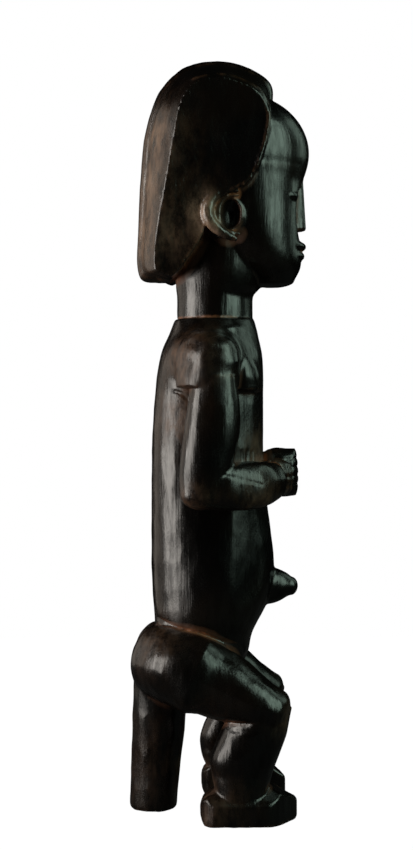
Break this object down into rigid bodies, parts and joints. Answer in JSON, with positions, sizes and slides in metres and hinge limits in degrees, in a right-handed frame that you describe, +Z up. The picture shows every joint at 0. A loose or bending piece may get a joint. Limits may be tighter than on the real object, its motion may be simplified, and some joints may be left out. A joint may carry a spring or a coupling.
{
  "type": "reliquary guardian figure",
  "caption": "Carved dark wood guardian figure, standing on bent legs and a round rear post, hands joined before a jutting navel, the big head under a crested helmet of hair",
  "frame": {"origin": "under the middle of the footprint, at floor level, where the post and both soles rest", "axes": "+Z up the figure, -Y the way it faces, +X towards its left hand"},
  "size_m": [0.1462, 0.1191, 0.5],
  "materials": {
    "wood": "dark oiled patina, glossy on the worn rounds, reddish brown where it is rubbed"
  },
  "bodies": {
    "root": {"guardian_figure": "wood"}
  },
  "joints": []
}
